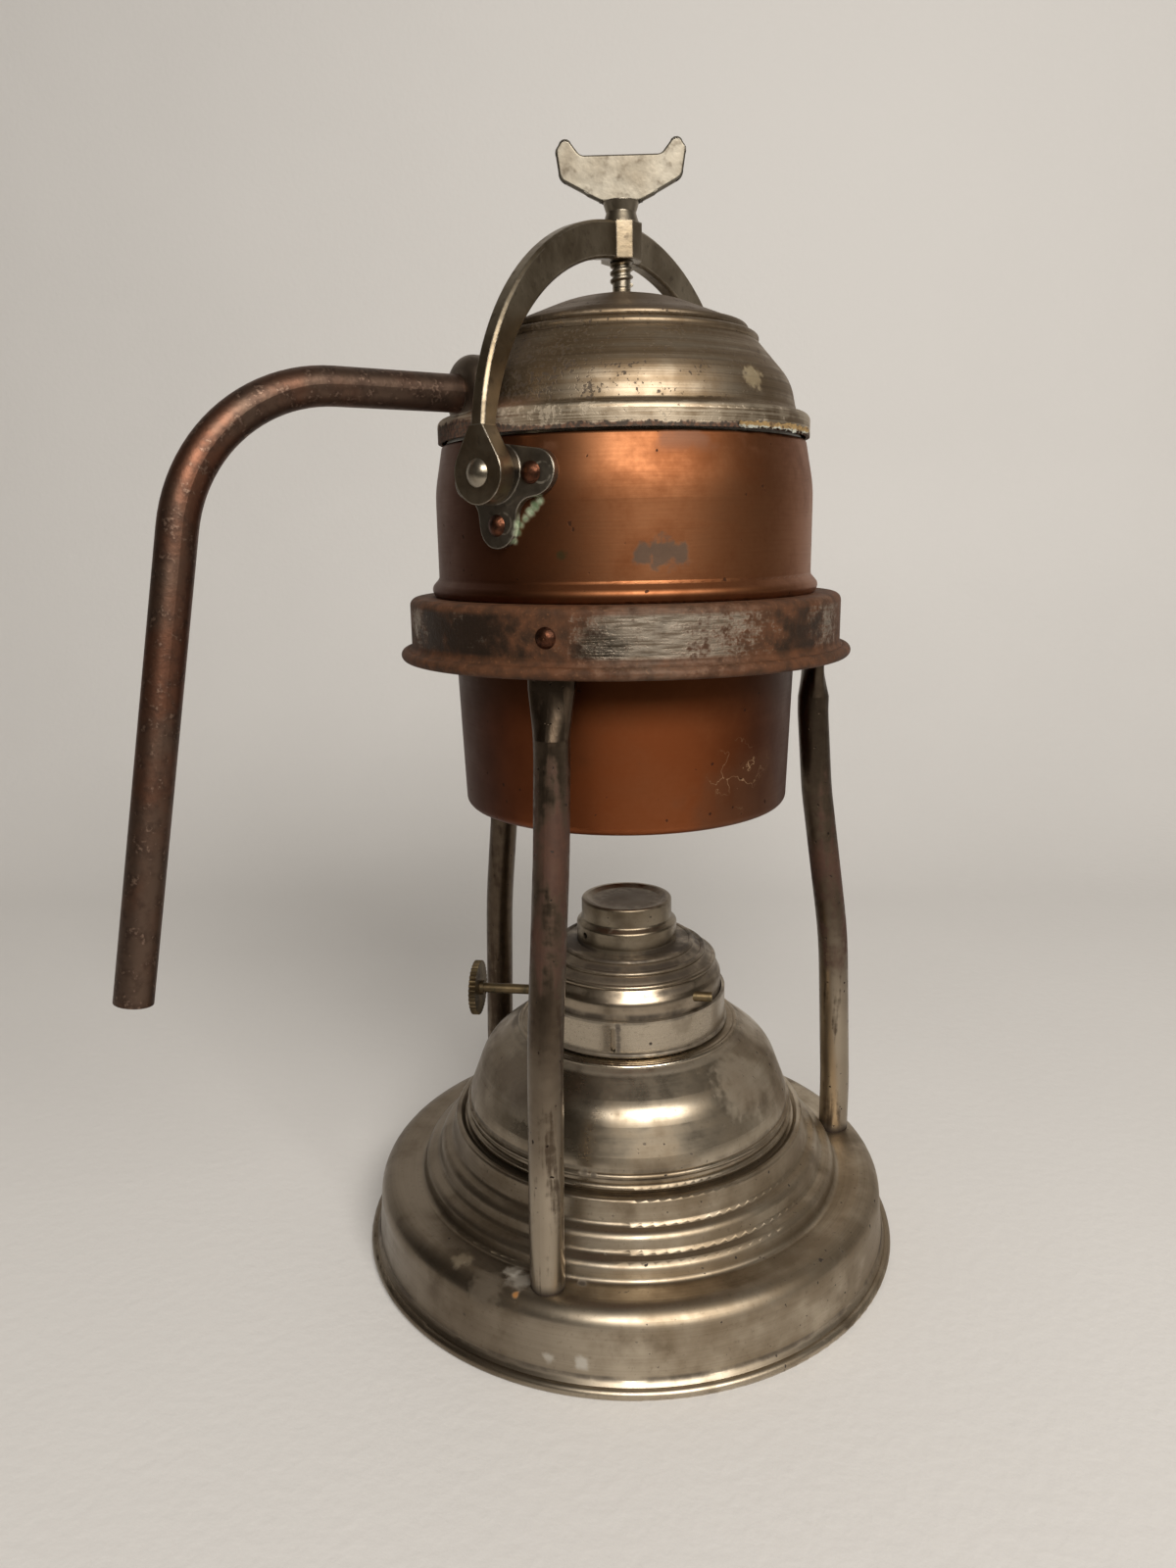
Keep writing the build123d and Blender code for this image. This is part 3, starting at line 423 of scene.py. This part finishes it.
# Boiler: a pot drawn from copper sheet with a bead that hangs on the ring. The copper is an
# aged brown orange with darker clouds, dots, one grey patch and pale scratches low on the right.
# Green crust has grown on it where the front bracket's lower edge touches.
ring_foot = 0.1960
ring_shadow_foot = 0.1700
pot_mouth = 0.2450
crust_green = (0.13, 0.18, 0.095, 1)
crust_pale = (0.50, 0.56, 0.40, 1)
verdigris = (
    ((-0.0209, -0.0502, 0.2302), 0.0015), ((-0.0222, -0.0499, 0.2289), 0.0018),
    ((-0.0235, -0.0494, 0.2276), 0.0019), ((-0.0248, -0.0488, 0.2261), 0.0016),
    ((-0.0259, -0.0483, 0.2244), 0.0014), ((-0.0268, -0.0476, 0.2226), 0.0012),
    ((-0.0276, -0.0468, 0.2206), 0.0011),
)


def blots(place, spots, soft, ragged, size=1.0):
    """Ragged balls round several centres, joined."""
    joined = None
    for centre, reach in spots:
        blot = near(place, centre, reach * size, soft, ragged)
        joined = blot if joined is None else joined.math("MAXIMUM", blot)
    return joined


pot_finish, place = new_finish("boiler_copper")
x = along(place, "X")
z = along(place, "Z")
polish = noise(turned(place, 0.002), 1500.0, 3.0)
cloud = noise(place, 20.0, 5.0)
mottle = noise(place, 110.0, 6.0)
fine = noise(place, 700.0, 5.0)
aged = step(0.6 * cloud + 0.3 * mottle + 0.1 * fine, 0.40, 0.62)
colour = mix(aged, (0.31, 0.130, 0.058, 1), (0.175, 0.062, 0.024, 1))
colour = mix(step(polish, 0.42, 0.72) * 0.16, colour, (0.15, 0.048, 0.020, 1))
# Painted shade: the copper is darkened towards its left side.
painted_left_shade_copper = step(x + mottle * 0.012, 0.004, -0.030)
colour = mix(painted_left_shade_copper * 0.85, colour, (0.085, 0.029, 0.014, 1))
# Below the ring the copper is a darker red brown, partly its own tone and partly painted shade.
below_ring_tone_and_shade = step(z, ring_foot, ring_foot - 0.0030)
colour = mix(below_ring_tone_and_shade * 0.6, colour, (0.26, 0.068, 0.020, 1))
# Painted shade: below the ring the pot's left and right sides are darkened.
edge = step(x.math("ABSOLUTE") + mottle * 0.010, 0.020, 0.048) * below_ring_tone_and_shade
colour = mix(edge * 0.8, colour, (0.035, 0.012, 0.005, 1))
# Painted shadow: the ring's cast shadow darkens the pot just below the ring.
painted_ring_shadow = below_ring_tone_and_shade * step(z, ring_shadow_foot, ring_shadow_foot + 0.0140)
colour = mix(painted_ring_shadow * 0.75, colour, (0.050, 0.018, 0.007, 1))
low = near(place, (0.0330, -0.0360, 0.1480), 0.0150, 0.007, mottle)
colour = mix(low * 0.6, colour, (0.13, 0.060, 0.032, 1))
dots = step(noise(place, 430.0, 1.0), 0.745, 0.785)
colour = mix(dots * 0.8, colour, (0.040, 0.020, 0.014, 1))
flake = noise(place, 420.0, 6.0)
grey = blots(place, (
    ((0.0093, -0.0531, 0.2174), 0.0036),
    ((0.0050, -0.0537, 0.2168), 0.0026),
    ((0.0138, -0.0522, 0.2166), 0.0028),
), 0.0010, flake)
colour = mix(grey * 0.85, colour, (0.085, 0.060, 0.042, 1))
mouth = step(z, pot_mouth - 0.0050, pot_mouth) * step(mottle, 0.5, 0.66)
colour = mix(mouth * 0.15, colour, (0.33, 0.25, 0.20, 1))
scribble = step((noise(place, 170.0, 3.0) - 0.5).math("ABSOLUTE"), 0.010, 0.003)
scribble = scribble * near(place, (0.0310, -0.0378, 0.1590), 0.0085, 0.003, mottle)
colour = mix(scribble * 0.7, colour, (0.56, 0.36, 0.21, 1))
olive = near(place, (-0.0154, -0.0516, 0.2171), 0.0011, 0.0005, fine)
colour = mix(olive * 0.7, colour, (0.085, 0.078, 0.034, 1))
green = blots(place, verdigris, 0.0006, 0.2 + 0.6 * flake, 0.8)
colour = mix(green, colour, mix(step(flake, 0.35, 0.65), crust_green, crust_pale))
roughness = 0.40 + 0.10 * aged + 0.06 * polish + 0.2 * dots + 0.16 * grey
roughness = roughness + 0.08 * mouth + 0.2 * green + 0.1 * low
metallic = 1.0 - 0.35 * grey - 0.15 * mouth - 0.6 * green
height = polish * 0.2 + mottle * 0.4 + fine * 0.1 - dots * 0.3 + scribble * 0.2
close(place, colour, roughness, metallic, height, 0.00006)
dress(pot_finish, "boiler_pot")


# Brackets, yoke and outlet: cast and filed pieces, thinly nickelled and gone dark. Their
# handled edges are worn pale and carry a painted highlight, and green crust has grown on the
# front bracket where copper meets it.
def cast_metal(name, body, cloudy, rough, edge_width, crust=(), painted_rivet_rims=()):
    """Cast or filed metal: worn edges with a painted highlight, painted pale rims round rivets,
    green crust.
    """
    finish, place = new_finish(name)
    soft = place.node("Bevel", {"samples": 6}, {"Radius": edge_width})
    flat = place.node("NewGeometry", {}, {}, "Normal")
    turn = place.node("VectorMath", {"operation": "DOT_PRODUCT"}, {0: soft, 1: flat}, "Value")
    cloud = noise(place, 60.0, 5.0)
    mottle = noise(place, 380.0, 5.0)
    # Edge wear and painted highlight: the edges are made pale.
    edge = step(turn, 0.99, 0.90) * step(mottle, 0.30, 0.60)
    colour = mix(step(cloud, 0.36, 0.66), body, cloudy)
    colour = mix(step(mottle, 0.55, 0.74) * 0.6, colour, (0.075, 0.056, 0.038, 1))
    colour = mix(edge * 0.6, colour, (0.58, 0.53, 0.45, 1))
    roughness = rough + 0.18 * mottle - 0.06 * edge
    metallic = 1.0 - 0.1 * mottle
    # Painted highlight: pale rims round the rivets.
    for centre, reach in painted_rivet_rims:
        away = place.node("VectorMath", {"operation": "DISTANCE"}, {0: place, 1: centre}, "Value")
        painted_rivet_rim = step((away - reach).math("ABSOLUTE"), 0.0004, 0.0001) * step(mottle, 0.4, 0.55)
        colour = mix(painted_rivet_rim * 0.7, colour, (0.60, 0.54, 0.44, 1))
    if crust:
        flake = noise(place, 420.0, 6.0)
        green = blots(place, crust, 0.0006, 0.2 + 0.6 * flake)
        colour = mix(green, colour, mix(step(flake, 0.35, 0.65), crust_green, crust_pale))
        roughness = roughness + 0.4 * green
        metallic = metallic - 0.9 * green
    close(place, colour, roughness, metallic, mottle + cloud, 0.00008, soft)
    return finish


bracket_finish = cast_metal(
    "bracket_metal", (0.20, 0.175, 0.140, 1), (0.105, 0.084, 0.062, 1), 0.30, 0.0006,
    crust=verdigris,
    painted_rivet_rims=(((-0.0202, -0.0521, 0.2370), 0.0026), ((-0.0305, -0.0474, 0.2249), 0.0026)),
)
dress(bracket_finish, "bracket_front", "bracket_rear")
yoke_finish = cast_metal("yoke_metal", (0.29, 0.242, 0.175, 1), (0.17, 0.132, 0.085, 1), 0.27,
                         0.0006)
dress(yoke_finish, "yoke", "screw_foot")
outlet_finish = cast_metal("outlet_metal", (0.18, 0.14, 0.105, 1), (0.085, 0.058, 0.042, 1), 0.36,
                           0.0008)
dress(outlet_finish, "outlet_boss")
pin_finish = cast_metal("pin_metal", (0.50, 0.45, 0.37, 1), (0.30, 0.26, 0.20, 1), 0.22, 0.0003)
dress(pin_finish, "pivot_pins")

# Lid: a dome spun from steel sheet with two beads and a hollow clamping rim, nickel plated.
# Fine turning lines show, dark spots cluster on its left, and the rim's lower edge has rusted.
rim_top = 0.2534
rim_foot = 0.2480
crown_foot = 0.2762
lid_finish, place = new_finish("lid_nickel_spun")
x = along(place, "X")
z = along(place, "Z")
lathe = turned(place, 0.0005)
lines = noise(lathe, 1900.0, 3.0)
broad = noise(lathe, 450.0, 3.0)
cloud = noise(place, 30.0, 5.0)
mottle = noise(place, 190.0, 6.0)
fine = noise(place, 1000.0, 4.0)
# The pale patch on the front right is rubbed plating and partly a painted highlight.
rubbed = near(place, (0.016, -0.046, 0.258), 0.020, 0.016)
dull = step(0.5 * cloud + 0.2 * mottle + 0.3 * broad - 0.07 * rubbed, 0.36, 0.54)
colour = mix(dull, (0.37, 0.305, 0.226, 1), (0.195, 0.140, 0.086, 1))
colour = mix(step(lines, 0.42, 0.70) * 0.5, colour, (0.11, 0.080, 0.054, 1))
# Painted shade: the top of the dome is darkened.
painted_top_shade = step(z, crown_foot, crown_foot + 0.0016)
colour = mix(painted_top_shade * 0.75, colour, (0.16, 0.115, 0.080, 1))
side = near(place, (-0.020, -0.043, 0.2635), 0.016, 0.012)
spots = step(fine * 0.6 + mottle * 0.4 + side * 0.07, 0.575, 0.64)
colour = mix(spots * 0.75, colour, (0.050, 0.036, 0.027, 1))
brown = step(z + mottle * 0.006, 0.2605, 0.2565) * step(x + mottle * 0.01, -0.012, -0.026)
colour = mix(brown * 0.65, colour, (0.24, 0.120, 0.070, 1))
pale = near(place, (0.0330, -0.0336, 0.2601), 0.0030, 0.0010, noise(place, 480.0, 6.0))
colour = mix(pale * 0.4, colour, (0.42, 0.355, 0.22, 1))
# Painted highlight: a band along the top of the rim is made pale.
painted_rim_highlight = step(z, rim_top, rim_top - 0.0007) * step(0.5 * mottle + 0.5 * lines, 0.38, 0.56)
colour = mix(painted_rim_highlight * 0.7, colour, (0.56, 0.48, 0.37, 1))
ragged = z + (fine - 0.5) * 0.0016 + (mottle - 0.5) * 0.0022
rust = step(ragged - step(x, -0.022, -0.045) * 0.003, rim_foot + 0.0007, rim_foot)
flakes = mix(step(fine, 0.42, 0.6), (0.020, 0.010, 0.007, 1), (0.10, 0.040, 0.020, 1))
colour = mix(rust * 0.9, colour, flakes)
roughness = 0.40 + 0.10 * dull + 0.10 * lines + 0.15 * spots
roughness = roughness + 0.3 * rust + 0.15 * pale + 0.15 * brown
metallic = 1.0 - 0.75 * rust - 0.35 * pale - 0.3 * brown - 0.4 * spots
height = lines * 0.5 + broad * 0.4 + mottle * 0.4 + fine * 0.2 - spots * 0.4 + rust * fine
close(place, colour, roughness, metallic, height, 0.00008)
dress(lid_finish, "lid_dome")

# Spout: a copper tube bent round a former and soldered into the outlet. It has oxidised to a
# dark reddish brown, greyer where it was handled, with fine runs along its length.
pipe_finish, place = new_finish("spout_copper")
cloud = noise(place, 45.0, 5.0)
mottle = noise(place, 280.0, 6.0)
fine = noise(place, 1100.0, 4.0)
red = step(cloud, 0.40, 0.62)
colour = mix(red, (0.125, 0.082, 0.060, 1), (0.150, 0.070, 0.044, 1))
colour = mix(step(mottle, 0.42, 0.68) * 0.7, colour, (0.055, 0.034, 0.026, 1))
rubbed = step(mottle * 0.5 + fine * 0.5, 0.55, 0.66)
colour = mix(rubbed * 0.45, colour, (0.40, 0.27, 0.20, 1))
close(place, colour, 0.32 + 0.2 * mottle + 0.1 * fine, 0.95, mottle * 0.8 + fine * 0.5, 0.00009)
dress(pipe_finish, "spout_pipe")

# Inner sheets: the coffee basket, its sieve, the lid's sieve and the tank's pan are tinned
# steel, dull grey with brown stains from coffee and damp.
tin_finish = spun_metal("tinned_sheet", (0.60, 0.585, 0.55, 1), (0.40, 0.37, 0.32, 1),
                        (0.20, 0.14, 0.09, 1), 0.52, 0.32, 0.2)
dress(tin_finish, "coffee_basket", "basket_plate", "filter_plate", "tank_bottom")

# Gasket: a fibre ring between lid and basket flange. It has swollen on the right, where its
# torn edge, pale below and yellow brown above, hangs out at the foot of the lid's rim.
tear_radius = 0.0531
tear_height = 0.2479
tear_thickness = 0.0006
tear_width = 0.0012
tear_start = math.radians(21)
tear_sweep = math.radians(36)
gasket_finish, place = new_finish("gasket_fibre")
z = along(place, "Z")
fray = noise(place, 600.0, 5.0)
upper = step(z + (fray - 0.5) * 0.002, tear_height - 0.0006, tear_height - 0.0001)
colour = mix(upper, (0.36, 0.37, 0.32, 1), (0.27, 0.175, 0.070, 1))
colour = mix(step(fray, 0.52, 0.66) * 0.85, colour, (0.060, 0.033, 0.018, 1))
close(place, colour, 0.85, 0.0, fray, 0.0005)
dress(gasket_finish, "lid_gasket")

bpy.ops.object.select_all(action="DESELECT")
bpy.ops.mesh.primitive_plane_add(size=1.0, location=(tear_radius, 0, tear_height),
                                 rotation=(math.radians(90), 0, 0))
torn = bpy.context.object
torn.name = torn.data.name = "torn_edge"
torn.scale = (tear_thickness, tear_width, 1.0)
bpy.ops.object.transform_apply(location=True, rotation=True, scale=True)
bpy.ops.object.mode_set(mode="EDIT")
bpy.ops.mesh.select_all(action="SELECT")
bpy.ops.transform.rotate(value=tear_start, orient_axis="Z", center_override=(0, 0, 0))
bpy.ops.mesh.spin(steps=60, angle=tear_sweep, center=(0, 0, 0), axis=(0, 0, 1))
bpy.ops.mesh.select_all(action="SELECT")
bpy.ops.transform.vertex_random(offset=0.0007, seed=4)
bpy.ops.mesh.normals_make_consistent(inside=False)
bpy.ops.object.mode_set(mode="OBJECT")
torn.data.materials.append(gasket_finish)
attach(torn, "lid")

# Burner: fuel tank with a rolled double bead at its foot, a band collar and the head that
# turns in it, all spun and nickelled, with warm tarnish under the ridges and small dark pits.
tank_finish = spun_metal(
    "tank_nickel", (0.53, 0.46, 0.36, 1), (0.245, 0.190, 0.128, 1), (0.080, 0.056, 0.035, 1),
    0.50, 0.18, 0.3, matte=0.26,
    grooves=((0.0440, 0.0005, 0.7), (0.0462, 0.0005, 0.6), (0.0690, 0.0007, 0.5)),
    marks=(
        ((-0.0126, -0.0505, 0.0454), 0.0012, (0.06, 0.045, 0.03, 1), 0.9),
        ((-0.0100, -0.0512, 0.0450), 0.0009, (0.06, 0.045, 0.03, 1), 0.9),
        ((-0.0340, -0.0250, 0.0640), 0.0075, (0.09, 0.066, 0.045, 1), 0.7),
        ((-0.0372, -0.0105, 0.0671), 0.0060, (0.20, 0.165, 0.12, 1), 0.5),
        ((-0.0307, -0.0324, 0.0600), 0.0060, (0.055, 0.040, 0.028, 1), 0.7),
        ((0.0330, -0.0280, 0.0600), 0.0080, (0.10, 0.074, 0.05, 1), 0.5),
    ),
    # Painted shade: the tank's left side is darkened.
    shade=0.5,
)
dress(tank_finish, "fuel_tank")
# Painted reflection: a row of dark marks on the collar paints the front leg's dark reflection as a
# vertical line.
reflection_foot = 0.0732
reflection_step = 0.0011
painted_leg_reflection = tuple(
    ((-0.0028, -0.0310, reflection_foot + reflection_step * n), 0.0008, (0.05, 0.038, 0.028, 1), 0.85)
    for n in range(8)
)
collar_finish = spun_metal(
    "collar_nickel", (0.42, 0.36, 0.28, 1), (0.27, 0.215, 0.150, 1), (0.085, 0.060, 0.038, 1),
    0.54, 0.20, 0.2, grooves=((0.0720, 0.0006, 0.8), (0.0818, 0.0005, 0.6)),
    marks=painted_leg_reflection + (((0.0068, -0.0302, 0.0752), 0.0004, (0.03, 0.02, 0.015, 1), 1.0),),
)
dress(collar_finish, "tank_collar")
head_finish = spun_metal(
    "head_nickel", (0.35, 0.290, 0.218, 1), (0.155, 0.118, 0.077, 1), (0.055, 0.038, 0.024, 1),
    0.47, 0.22, 0.25,
    grooves=(
        (0.0828, 0.0009, 0.9), (0.0893, 0.0007, 0.7), (0.0928, 0.0007, 0.8),
        (0.0953, 0.0006, 0.9), (0.0972, 0.0006, 0.9),
    ),
)
dress(head_finish, "burner_head")

# Snuffer cap: a small spun cup set over the wick tube, with a dished top, a stepped skirt
# and a vent hole. It is nickelled, brown and worn round its upper rim.
cap_finish = spun_metal(
    "cap_nickel", (0.32, 0.272, 0.203, 1), (0.155, 0.120, 0.080, 1), (0.060, 0.042, 0.027, 1),
    0.48, 0.20, 0.15, grooves=((0.0975, 0.0006, 0.9),),
    marks=(((0.0015, 0.0, 0.1105), 0.0100, (0.065, 0.048, 0.033, 1), 0.7),),
)
dress(cap_finish, "snuffer_cap")

# Wick raiser: a brass rod through the head with a toothed wheel inside and a thin knurled
# knob outside. The brass is brown, with dull green in the knurling.
brass_finish, place = new_finish("raiser_brass")
mottle = noise(place, 500.0, 5.0)
cloud = noise(place, 120.0, 4.0)
colour = mix(step(cloud, 0.4, 0.65), (0.165, 0.122, 0.066, 1), (0.080, 0.058, 0.033, 1))
colour = mix(step(mottle, 0.56, 0.72) * 0.7, colour, (0.060, 0.058, 0.036, 1))
close(place, colour, 0.34 + 0.3 * mottle, 0.95, mottle, 0.0001)
dress(brass_finish, "wick_shaft", "star_wheel", "wick_knob", "wick_tube")

# Wick: a round cord of woven cotton that draws spirit up the tube. Its top is charred.
wick_finish, place = new_finish("wick_cotton")
angle = around(place)
z = along(place, "Z")
yarn = (angle * 18.0 + z * 2600.0).math("SINE") * (angle * 18.0 - z * 2600.0).math("SINE")
char = step(z + noise(place, 400.0) * 0.003, 0.1000, 0.1050)
colour = mix(step(yarn, -0.4, 0.6), (0.42, 0.37, 0.28, 1), (0.70, 0.64, 0.52, 1))
close(place, mix(char, colour, (0.025, 0.020, 0.018, 1)), 0.9, 0.0, yarn, 0.0004)
dress(wick_finish, "wick")

# Wing plate: the flat key of the clamp screw, stamped from plate and brightly nickelled.
# Its face is left bare, and its edges are rounded by tumbling, rubbed bright and given a painted
# highlight.
def working_copy(name, title):
    """A copy of a CAD node's mesh with its doubled vertices merged, left in edit mode."""
    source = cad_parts[name]
    piece = bpy.data.objects.new(title, source.data.copy())
    piece.data.name = title
    bpy.context.collection.objects.link(piece)
    bpy.ops.object.select_all(action="DESELECT")
    piece.select_set(True)
    bpy.context.view_layer.objects.active = piece
    bpy.ops.object.mode_set(mode="EDIT")
    bpy.ops.mesh.select_all(action="SELECT")
    bpy.ops.mesh.customdata_custom_splitnormals_clear()
    bpy.ops.mesh.remove_doubles(threshold=0.00001)
    return piece


wing_root = 0.0075
wing_shoulder = 0.3195
wing_lowering = 0.0016
wing_valley = 0.32225
ear_share = 0.87
edge_rounding = 0.0007
wing_finish = cast_metal("wing_metal", (0.22, 0.200, 0.163, 1), (0.16, 0.137, 0.104, 1), 0.36,
                         0.0003)
wing = working_copy("wing_plate", "wing_key")
bpy.ops.mesh.dissolve_limited(angle_limit=math.radians(1))
pick(wing, "VERT", lambda points: abs(points[0].x) > wing_root and points[0].z < wing_shoulder)
bpy.ops.transform.translate(value=(0, 0, -wing_lowering))
pick(wing, "VERT", lambda points: points[0].z > wing_valley)
bpy.ops.transform.resize(value=(1, 1, ear_share), center_override=(0, 0, wing_valley))
bpy.ops.mesh.select_all(action="DESELECT")
bpy.ops.mesh.edges_select_sharp(sharpness=math.radians(50))
bpy.ops.mesh.bevel(offset=edge_rounding, segments=4, affect="EDGES")
bpy.ops.object.mode_set(mode="OBJECT")
bpy.ops.object.shade_smooth_by_angle(angle=math.radians(35))
wing.modifiers.new("flat_faces", "WEIGHTED_NORMAL").keep_sharp = True
bpy.ops.object.modifier_apply(modifier="flat_faces")
wing.data.materials.clear()
wing.data.materials.append(wing_finish)
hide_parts("wing_plate")
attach(wing, "wing_screw")

# Clamp screw: a turned steel spindle under the wing plate. Its coarse single thread is a ridge
# wound round the core, and the collar above it, where the wing is set, is waisted.
spindle_radius = 0.00325
core_share = 0.77
thread_depth = 0.0008
thread_width = 0.0016
thread_foot = 0.2893
thread_middle = 0.0028
thread_pitch = 0.002
thread_turns = 4
spindle_finish = cast_metal("spindle_metal", (0.34, 0.30, 0.235, 1), (0.19, 0.155, 0.11, 1), 0.26,
                            0.0003)
core = working_copy("screw_spindle", "spindle_core")
pick(core, "VERT", lambda points: abs(points[0].xy.length - spindle_radius) < 0.00002)
bpy.ops.transform.resize(value=(core_share, core_share, 1), center_override=(0, 0, 0))
bpy.ops.object.mode_set(mode="OBJECT")
bpy.ops.object.shade_smooth_by_angle(angle=math.radians(35))
core.data.materials.clear()
core.data.materials.append(spindle_finish)
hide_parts("screw_spindle")
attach(core, "wing_screw")

bpy.ops.object.select_all(action="DESELECT")
bpy.ops.mesh.primitive_plane_add(size=1.0, location=(thread_middle, 0, thread_foot),
                                 rotation=(math.radians(90), 0, 0))
thread = bpy.context.object
thread.name = thread.data.name = "spindle_thread"
thread.scale = (thread_depth, thread_width, 1.0)
bpy.ops.object.transform_apply(location=True, rotation=True, scale=True)
pick(thread, "VERT", lambda points: points[0].x > thread_middle)
bpy.ops.transform.resize(value=(1, 1, 0.3), center_override=(0, 0, thread_foot))
bpy.ops.mesh.select_all(action="SELECT")
bpy.ops.mesh.delete(type="ONLY_FACE")
bpy.ops.object.mode_set(mode="OBJECT")
winding = thread.modifiers.new("winding", "SCREW")
winding.screw_offset = thread_pitch
winding.iterations = thread_turns
winding.steps = 36
winding.render_steps = 36
bpy.ops.object.modifier_apply(modifier="winding")
bpy.ops.object.mode_set(mode="EDIT")
bpy.ops.mesh.select_all(action="SELECT")
bpy.ops.mesh.fill_holes(sides=4)
bpy.ops.mesh.select_all(action="SELECT")
bpy.ops.mesh.normals_make_consistent(inside=False)
bpy.ops.object.mode_set(mode="OBJECT")
bpy.ops.object.shade_smooth_by_angle(angle=math.radians(35))
thread.data.materials.append(spindle_finish)
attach(thread, "wing_screw")

low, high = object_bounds()
